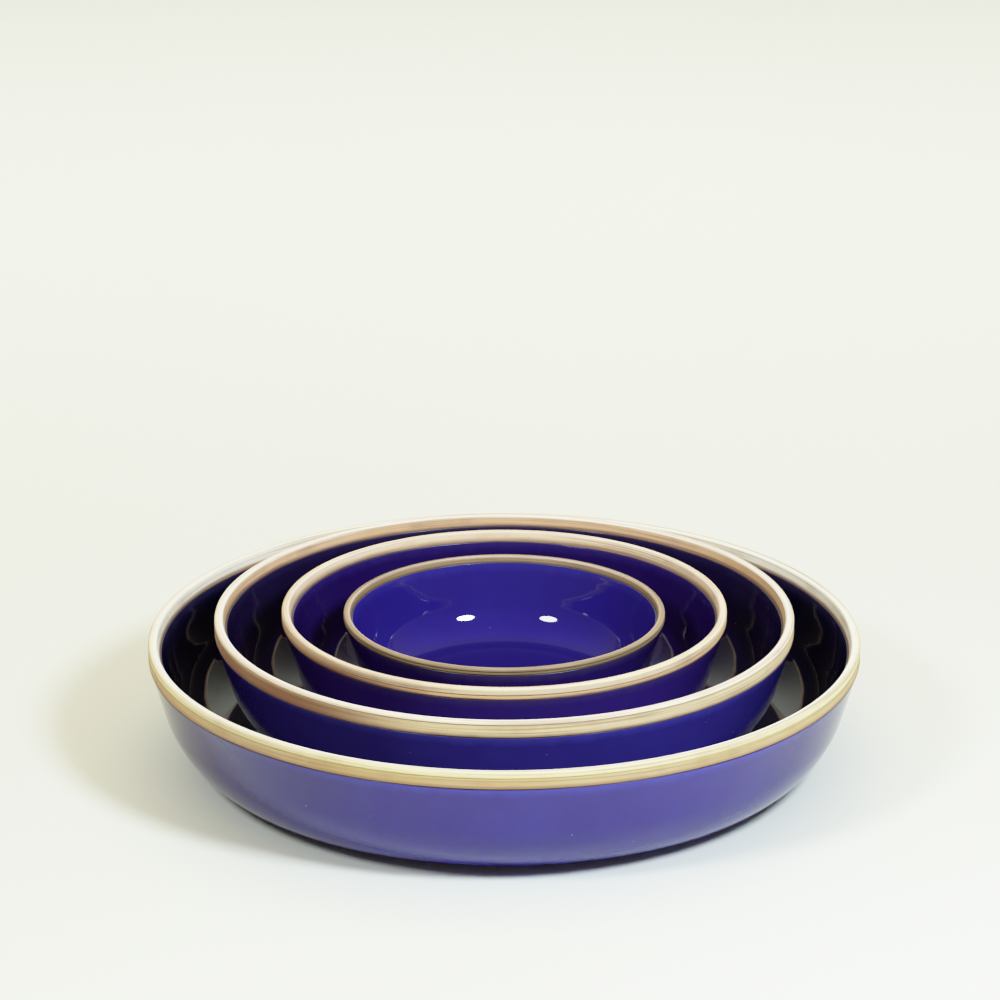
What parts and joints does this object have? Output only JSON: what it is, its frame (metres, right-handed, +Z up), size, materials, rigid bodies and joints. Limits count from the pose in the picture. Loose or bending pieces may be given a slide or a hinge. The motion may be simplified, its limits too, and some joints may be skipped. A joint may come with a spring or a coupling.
{
  "type": "nested serving bowls",
  "caption": "Set of round low stoneware bowls in graded sizes that nest one in another, glazed inside and out, with bare rims and bare foot rings.",
  "frame": {"origin": "centre of the largest bowl's foot ring, on the surface that it stands on", "axes": "+Z up along the axis that the bowls share; X and Y are level and alike, because every bowl is round"},
  "size_m": [0.304, 0.304, 0.0682],
  "materials": {
    "bare_clay": "matte, unglazed, turned",
    "buff_clay": "matte, unglazed, turned",
    "cobalt_glaze": "glossy cobalt-blue glaze"
  },
  "bodies": {
    "largest_bowl": {"largest_bowl_clay_body": "bare_clay", "largest_bowl_inner_glaze": "cobalt_glaze", "largest_bowl_outer_glaze": "cobalt_glaze", "largest_bowl_foot_glaze": "cobalt_glaze"},
    "large_bowl": {"large_bowl_clay_body": "bare_clay", "large_bowl_inner_glaze": "cobalt_glaze", "large_bowl_outer_glaze": "cobalt_glaze", "large_bowl_foot_glaze": "cobalt_glaze"},
    "medium_bowl": {"medium_bowl_clay_body": "bare_clay", "medium_bowl_inner_glaze": "cobalt_glaze", "medium_bowl_outer_glaze": "cobalt_glaze", "medium_bowl_foot_glaze": "cobalt_glaze"},
    "small_bowl": {"small_bowl_clay_body": "buff_clay", "small_bowl_inner_glaze": "cobalt_glaze", "small_bowl_outer_glaze": "cobalt_glaze", "small_bowl_foot_glaze": "cobalt_glaze"}
  },
  "joints": [
    {"name": "large_bowl_lift", "type": "slide", "parent": "largest_bowl", "child": "large_bowl", "axis": [0, 0, 1], "range_m": [0, 0.1]},
    {"name": "medium_bowl_lift", "type": "slide", "parent": "large_bowl", "child": "medium_bowl", "axis": [0, 0, 1], "range_m": [0, 0.09]},
    {"name": "small_bowl_lift", "type": "slide", "parent": "medium_bowl", "child": "small_bowl", "axis": [0, 0, 1], "range_m": [0, 0.08]}
  ]
}
